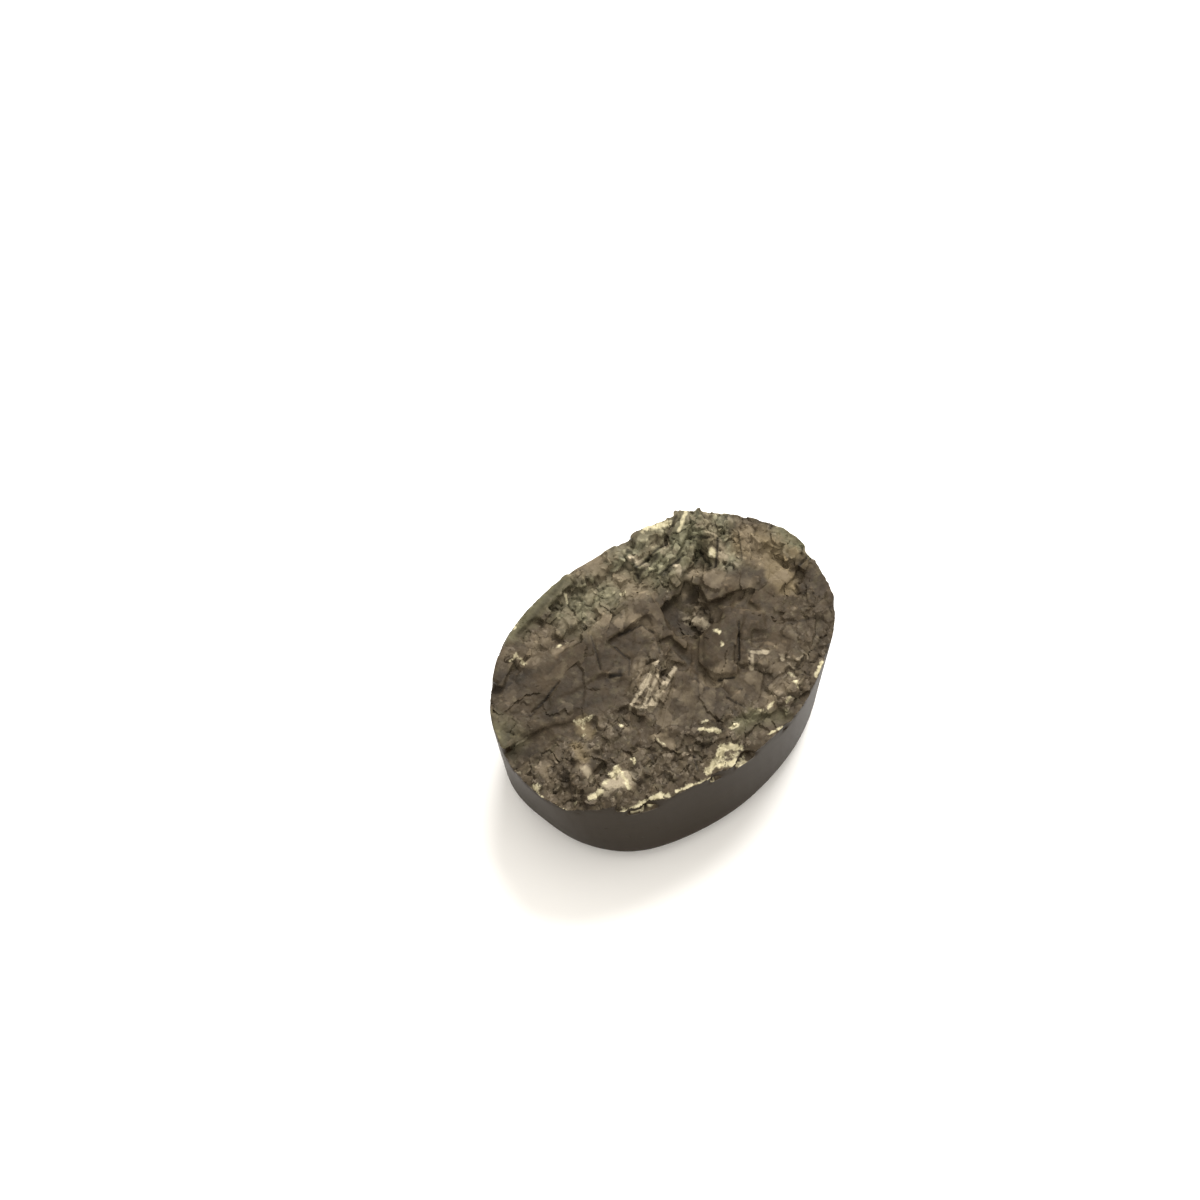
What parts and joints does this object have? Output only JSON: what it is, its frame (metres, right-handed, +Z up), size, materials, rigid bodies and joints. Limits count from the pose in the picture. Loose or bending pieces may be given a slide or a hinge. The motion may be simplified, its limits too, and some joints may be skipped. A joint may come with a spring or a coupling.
{
  "type": "pyrite ring stone",
  "caption": "Oval pyrite stone with a rough natural crystal face on top, a smooth ground side that tapers in, and a rounded base with a small flat spot.",
  "frame": {"origin": "centre of the stone's box, on the surface it rests on", "axes": "+X along the oval's long axis, +Y along its short axis, +Z up through the crystal face"},
  "size_m": [0.0178, 0.0124, 0.0069],
  "materials": {
    "pyrite": "tarnished brown pyrite, rough crystal face with cream and ochre patches, satin ground side"
  },
  "bodies": {
    "root": {"pyrite_stone": "pyrite"}
  },
  "joints": []
}
